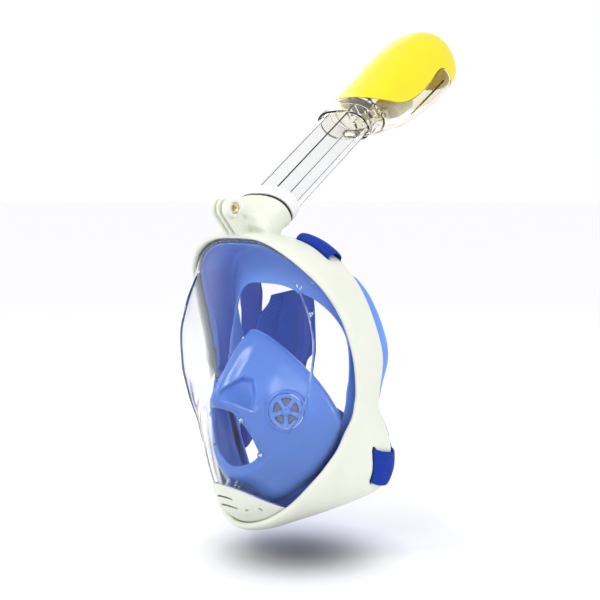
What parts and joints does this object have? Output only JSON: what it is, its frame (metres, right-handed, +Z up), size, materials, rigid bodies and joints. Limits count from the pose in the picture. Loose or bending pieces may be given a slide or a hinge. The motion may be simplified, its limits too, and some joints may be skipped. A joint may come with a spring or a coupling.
{
  "type": "full face snorkel",
  "caption": "Full face snorkel: clear curved lens in a white frame, soft face seal and nose pocket, head strap, camera mount and pull-off snorkel with a float-valve dry top.",
  "frame": {"origin": "centre of the plane that the face seal rests on, level with the middle of the face", "axes": "+Z up the worn mask, -Y the way the wearer looks, +X to the wearer's left"},
  "size_m": [0.203, 0.2786, 0.3994],
  "materials": {
    "camera_mount_nut": "satin",
    "chin_cover": "satin",
    "chin_valve_flap": "matte",
    "chin_valve_seat": "gloss",
    "dry_top_cap": "satin",
    "dry_top_housing": "gloss",
    "face_seal": "satin",
    "float_block": "matte",
    "float_lever": "satin",
    "float_pin": "satin",
    "float_seal": "matte",
    "frame": "satin",
    "lens": "gloss",
    "nose_pocket": "satin",
    "pocket_stud_lower_left": "gloss",
    "pocket_stud_lower_right": "gloss",
    "pocket_stud_upper_left": "gloss",
    "pocket_stud_upper_right": "gloss",
    "pocket_valve_flap_left": "matte",
    "pocket_valve_flap_right": "matte",
    "pocket_valve_seat_left": "gloss",
    "pocket_valve_seat_right": "gloss",
    "snorkel_collar": "satin",
    "snorkel_tube": "gloss",
    "socket_o_ring": "satin",
    "strap_arm_lower_left": "woven",
    "strap_arm_lower_right": "woven",
    "strap_arm_upper_left": "woven",
    "strap_arm_upper_right": "woven",
    "strap_back_pad": "woven"
  },
  "bodies": {
    "mask": {"frame": "frame", "lens": "lens", "chin_cover": "chin_cover", "face_seal": "face_seal", "nose_pocket": "nose_pocket", "pocket_stud_upper_left": "pocket_stud_upper_left", "pocket_stud_upper_right": "pocket_stud_upper_right", "pocket_stud_lower_left": "pocket_stud_lower_left", "pocket_stud_lower_right": "pocket_stud_lower_right", "pocket_valve_seat_left": "pocket_valve_seat_left", "pocket_valve_seat_right": "pocket_valve_seat_right", "chin_valve_seat": "chin_valve_seat", "camera_mount_nut": "camera_mount_nut", "strap_arm_upper_left": "strap_arm_upper_left", "strap_arm_upper_right": "strap_arm_upper_right", "strap_arm_lower_left": "strap_arm_lower_left", "strap_arm_lower_right": "strap_arm_lower_right", "strap_back_pad": "strap_back_pad"},
    "pocket_flap_left": {"pocket_valve_flap_left": "pocket_valve_flap_left"},
    "pocket_flap_right": {"pocket_valve_flap_right": "pocket_valve_flap_right"},
    "chin_flap": {"chin_valve_flap": "chin_valve_flap"},
    "snorkel": {"snorkel_tube": "snorkel_tube", "snorkel_collar": "snorkel_collar", "socket_o_ring": "socket_o_ring", "dry_top_cap": "dry_top_cap", "dry_top_housing": "dry_top_housing", "float_pin": "float_pin"},
    "float": {"float_lever": "float_lever", "float_seal": "float_seal", "float_block": "float_block"}
  },
  "joints": [
    {"name": "snorkel_pull", "type": "slide", "parent": "mask", "child": "snorkel", "axis": [0, 0.7944, 0.6074], "range_m": [0, 0.05]},
    {"name": "float_hinge", "type": "hinge", "parent": "snorkel", "child": "float", "pos_m": [0, 0.07449, 0.21755], "axis": [1, 0, 0], "range_deg": [0, 20]},
    {"name": "pocket_flap_left_lift", "type": "slide", "parent": "mask", "child": "pocket_flap_left", "axis": [-0.6608, 0.7409, -0.1201], "range_m": [0, 0.0018], "stiffness_N_per_m": 30},
    {"name": "pocket_flap_right_lift", "type": "slide", "parent": "mask", "child": "pocket_flap_right", "axis": [0.6608, 0.7409, -0.1201], "range_m": [0, 0.0018], "stiffness_N_per_m": 30},
    {"name": "chin_flap_lift", "type": "slide", "parent": "mask", "child": "chin_flap", "axis": [0, -0.7413, -0.6712], "range_m": [0, 0.002], "stiffness_N_per_m": 30}
  ]
}
